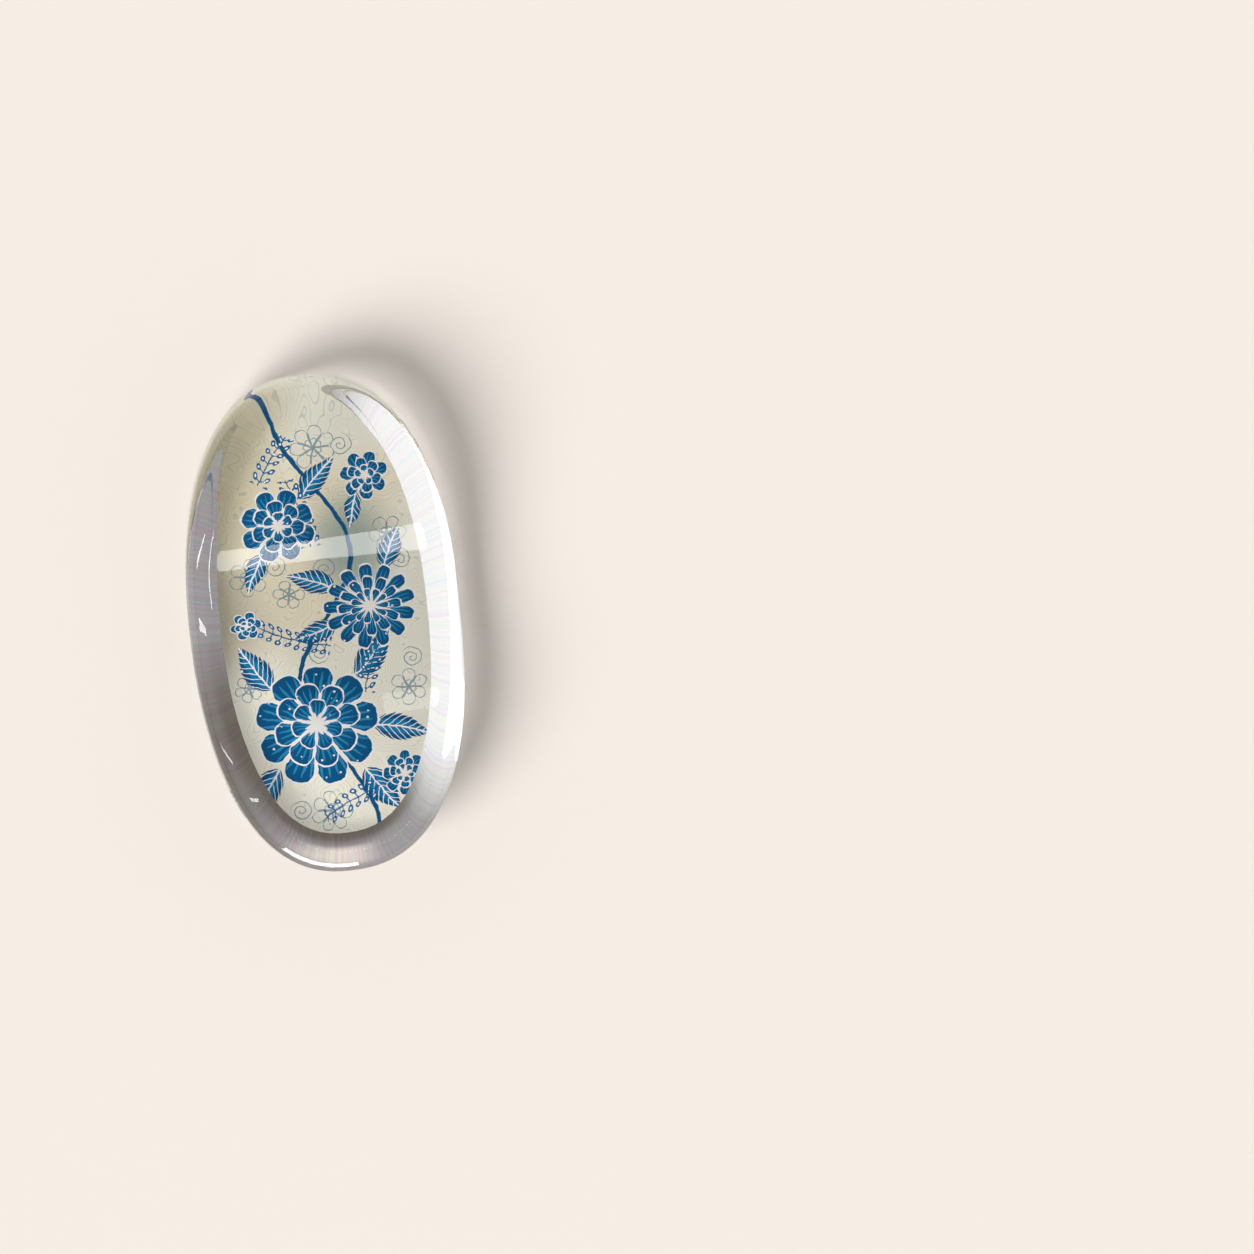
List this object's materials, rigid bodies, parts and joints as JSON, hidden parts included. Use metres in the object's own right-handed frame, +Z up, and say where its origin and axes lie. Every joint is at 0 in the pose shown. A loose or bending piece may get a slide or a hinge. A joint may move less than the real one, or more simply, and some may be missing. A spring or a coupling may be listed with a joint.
{
  "type": "chopstick rest",
  "caption": "Clear oval glass chopstick rest with a shallow saddle across its top and a printed picture bonded under its base.",
  "frame": {"origin": "middle of the face that stands on the table", "axes": "+Z up through the glass, Y along the long side, X across it, along the saddle"},
  "size_m": [0.0284, 0.0532, 0.008],
  "materials": {
    "clear_glass": "clear pressed glass, fire polished, with a ground base",
    "clear_adhesive": "clear adhesive film",
    "printed_sheet": "coated sheet printed in indigo and mid blue on cream",
    "white_backing": "satin white protective film"
  },
  "bodies": {
    "root": {"glass_body": "clear_glass", "clear_adhesive": "clear_adhesive", "picture_sheet": "printed_sheet", "back_adhesive": "clear_adhesive", "backing": "white_backing"}
  },
  "joints": []
}
